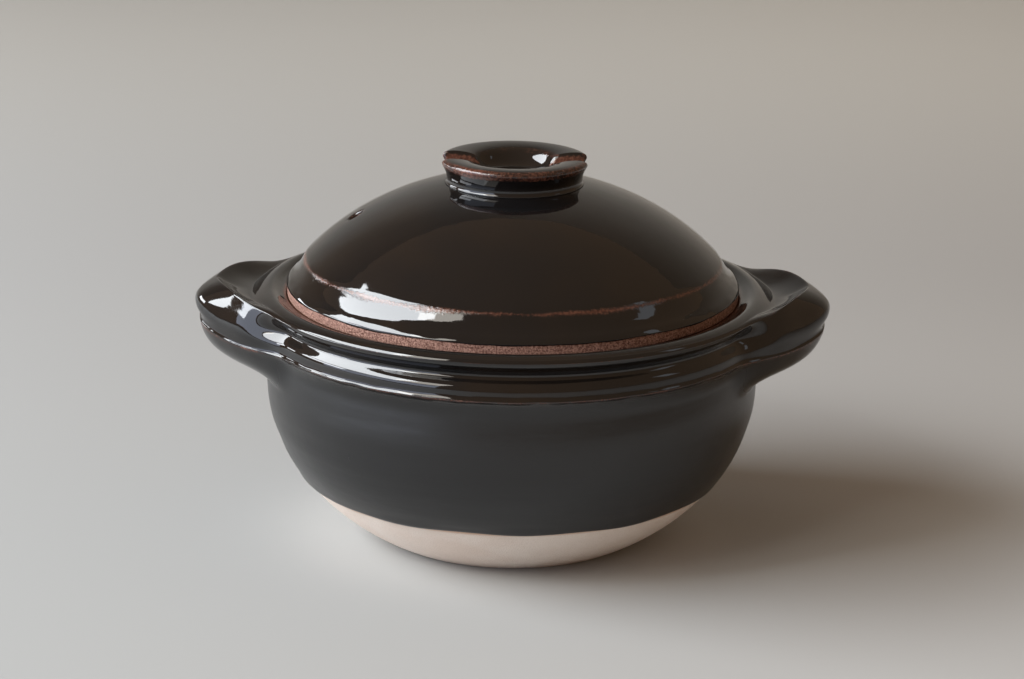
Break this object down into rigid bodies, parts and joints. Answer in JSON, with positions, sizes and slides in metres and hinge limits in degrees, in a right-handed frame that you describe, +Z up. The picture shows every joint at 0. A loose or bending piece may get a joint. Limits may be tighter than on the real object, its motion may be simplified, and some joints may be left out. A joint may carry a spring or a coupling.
{
  "type": "lidded clay pot",
  "caption": "Round clay cooking pot with a domed lid that lifts off, ring knob, steam hole, ear handles and a dark glaze that stops above a bare foot.",
  "frame": {"origin": "centre of the foot, on the surface that the pot stands on", "axes": "+Z up through the knob, +X from the left ear to the right ear"},
  "size_m": [0.2902, 0.2326, 0.1771],
  "materials": {
    "bare_clay": "bare fireproof clay, coarse and matt, warm beige",
    "brown_clay": "bare clay edge, toasted reddish brown, coarse and matt",
    "dark_glaze": "glossy near-black glaze that breaks reddish brown over the edges"
  },
  "bodies": {
    "pot": {"bowl": "bare_clay", "left_ear": "dark_glaze", "right_ear": "dark_glaze", "bowl_outer_glaze": "dark_glaze", "bowl_inner_glaze": "dark_glaze"},
    "lid": {"lid_dome": "brown_clay", "knob_ring": "brown_clay", "lid_top_glaze": "dark_glaze", "lid_under_glaze": "dark_glaze"}
  },
  "joints": [
    {"name": "lid_lift", "type": "slide", "parent": "pot", "child": "lid", "axis": [0, 0, 1], "range_m": [0, 0.12]}
  ]
}
